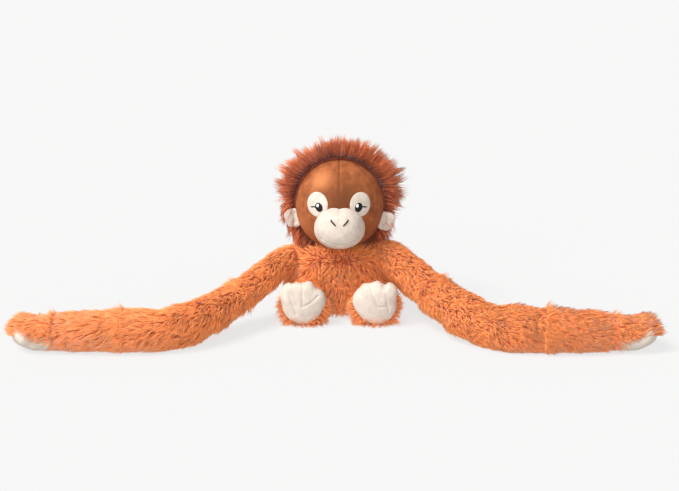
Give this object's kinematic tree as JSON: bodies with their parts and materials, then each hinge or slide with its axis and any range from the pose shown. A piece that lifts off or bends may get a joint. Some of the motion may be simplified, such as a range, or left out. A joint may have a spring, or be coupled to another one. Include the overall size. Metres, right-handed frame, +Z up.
{
  "type": "plush monkey",
  "caption": "Sitting long-armed stuffed ape with a hairy mane, jointed limbs laid out along the floor and soles facing forward.",
  "frame": {"origin": "centre of the flat seat, on the surface that the toy sits on", "axes": "+Z up, the face looks along -Y, +X is the toy's own left"},
  "size_m": [0.7115, 0.2468, 0.204],
  "materials": {
    "plush": "long-pile orange plush, brushed",
    "mane": "long red-brown hair pile",
    "face": "short-pile brown velboa",
    "cream": "short-pile cream velboa",
    "thread_black": "satin-stitch black embroidery thread",
    "thread_white": "satin-stitch white embroidery thread",
    "fibre": "loose polyester stuffing",
    "pouch": "woven inner pouch of plastic pellets"
  },
  "bodies": {
    "torso": {"torso_front_skin": "plush", "torso_back_skin": "plush", "base_panel": "plush", "torso_stuffing": "fibre", "bean_bag": "pouch"},
    "head": {"head_stuffing": "fibre", "muzzle_skin": "cream", "muzzle_stuffing": "fibre", "face_panel_right": "face", "mane_panel_right": "mane", "eye_patch_right": "cream", "eye_right": "thread_black", "eye_highlight_right": "thread_white", "lash_stitch_right": "thread_black", "nostril_stitch_right": "thread_black", "ear_right": "cream", "face_panel_left": "face", "mane_panel_left": "mane", "eye_patch_left": "cream", "eye_left": "thread_black", "eye_highlight_left": "thread_white", "lash_stitch_left": "thread_black", "nostril_stitch_left": "thread_black", "ear_left": "cream"},
    "upper_arm_right": {"upper_arm_skin_right": "plush", "upper_arm_stuffing_right": "fibre"},
    "forearm_right": {"forearm_skin_right": "plush", "forearm_stuffing_right": "fibre"},
    "hand_right": {"hand_back_right": "plush", "palm_right": "cream", "hand_stuffing_right": "fibre"},
    "upper_arm_left": {"upper_arm_skin_left": "plush", "upper_arm_stuffing_left": "fibre"},
    "forearm_left": {"forearm_skin_left": "plush", "forearm_stuffing_left": "fibre"},
    "hand_left": {"hand_back_left": "plush", "palm_left": "cream", "hand_stuffing_left": "fibre"},
    "leg_right": {"leg_skin_right": "plush", "leg_stuffing_right": "fibre", "foot_skin_right": "cream", "foot_stuffing_right": "fibre"},
    "leg_left": {"leg_skin_left": "plush", "leg_stuffing_left": "fibre", "foot_skin_left": "cream", "foot_stuffing_left": "fibre"}
  },
  "joints": [
    {"name": "neck_nod", "type": "hinge", "parent": "torso", "child": "head", "pos_m": [0, -0.004, 0.074], "axis": [1, 0, 0], "range_deg": [-14, 14], "stiffness_Nm_per_rad": 1.5},
    {"name": "shoulder_raise_right", "type": "hinge", "parent": "torso", "child": "upper_arm_right", "pos_m": [-0.06, -0.015, 0.064], "axis": [-0.6604, 0.6556, -0.3662], "range_deg": [-6, 80]},
    {"name": "elbow_bend_right", "type": "hinge", "parent": "upper_arm_right", "child": "forearm_right", "pos_m": [-0.17131, -0.15003, 0.023], "axis": [0, 0, 1], "range_deg": [-30, 105]},
    {"name": "wrist_lift_right", "type": "hinge", "parent": "forearm_right", "child": "hand_right", "pos_m": [-0.30458, -0.16404, 0.02], "axis": [0.1736, 0.9848, 0], "range_deg": [-10, 60]},
    {"name": "shoulder_raise_left", "type": "hinge", "parent": "torso", "child": "upper_arm_left", "pos_m": [0.06, -0.015, 0.064], "axis": [-0.6722, -0.6346, 0.3814], "range_deg": [-6, 80]},
    {"name": "elbow_bend_left", "type": "hinge", "parent": "upper_arm_left", "child": "forearm_left", "pos_m": [0.16105, -0.1467, 0.023], "axis": [0, 0, 1], "range_deg": [-105, 30]},
    {"name": "wrist_lift_left", "type": "hinge", "parent": "forearm_left", "child": "hand_left", "pos_m": [0.29375, -0.16535, 0.02], "axis": [0.2419, -0.9703, 0], "range_deg": [-10, 60]},
    {"name": "hip_lift_right", "type": "hinge", "parent": "torso", "child": "leg_right", "pos_m": [-0.04, -0.04894, 0.026], "axis": [-1, 0, 0], "range_deg": [-8, 18], "stiffness_Nm_per_rad": 0.6},
    {"name": "hip_lift_left", "type": "hinge", "parent": "torso", "child": "leg_left", "pos_m": [0.04, -0.04894, 0.026], "axis": [-1, 0, 0], "range_deg": [-8, 18], "stiffness_Nm_per_rad": 0.6}
  ]
}
